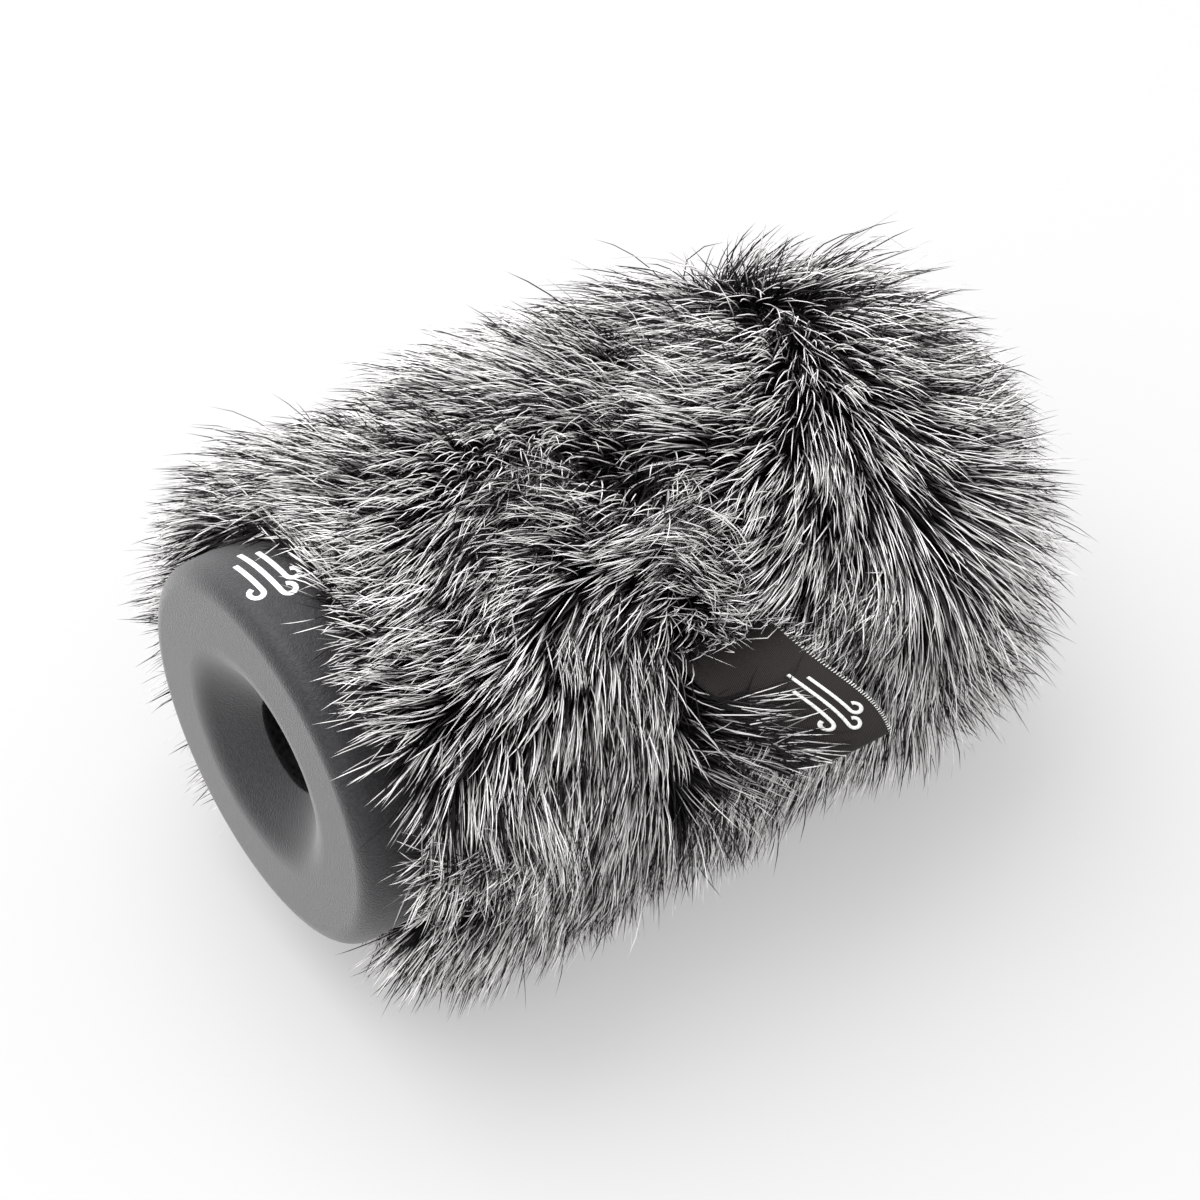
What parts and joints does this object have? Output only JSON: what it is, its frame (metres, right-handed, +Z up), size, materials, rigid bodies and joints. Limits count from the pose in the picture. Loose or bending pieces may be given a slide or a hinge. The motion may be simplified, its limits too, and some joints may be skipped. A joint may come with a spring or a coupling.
{
  "type": "furry microphone windscreen",
  "caption": "Slip-on furry windscreen for a short shotgun microphone: rubber end cap with a grip bore, foam core and a removable long-pile sewn cover.",
  "frame": {"origin": "centre of the microphone bore's mouth, at the bottom of the rubber cap's dished recess", "axes": "+X along the bore from the cap towards the nose, +Z up with the windscreen lying on its side, +Y completes the right-handed set"},
  "size_m": [0.1488, 0.1107, 0.0993],
  "materials": {
    "rubber": "matt moulded",
    "ring_plastic": "matt",
    "foam": "open-cell foam",
    "lining": "knitted mesh",
    "binding": "woven tape",
    "elastic": "braided",
    "seam_thread": "sewing thread",
    "fur": "long pile on a knitted back",
    "label_fabric": "woven label",
    "label_thread": "sewing thread"
  },
  "bodies": {
    "base": {"base_cap": "rubber", "spigot_ring": "ring_plastic", "foam_plug": "foam", "foam_sleeve": "foam", "foam_nose": "foam"},
    "cover": {"lining_tube": "lining", "lining_nose": "lining", "hem_binding": "binding", "hem_elastic": "elastic", "side_seam_left": "seam_thread", "side_seam_right": "seam_thread", "nose_seam_ring": "seam_thread", "gore_seam_across": "seam_thread", "gore_seam_top": "seam_thread", "gore_seam_bottom": "seam_thread", "fur_body_upper": "fur", "fur_body_lower": "fur", "fur_gore_upper_left": "fur", "fur_gore_upper_right": "fur", "fur_gore_lower_left": "fur", "fur_gore_lower_right": "fur"},
    "label": {"woven_label": "label_fabric", "label_stitching": "label_thread"}
  },
  "joints": [
    {"name": "cover_slide", "type": "slide", "parent": "base", "child": "cover", "axis": [1, 0, 0], "range_m": [0, 0.12]},
    {"name": "label_flip", "type": "hinge", "parent": "cover", "child": "label", "pos_m": [0.062, -0.03146, 0.0189], "axis": [-1, 0, 0], "range_deg": [-8, 45]}
  ]
}
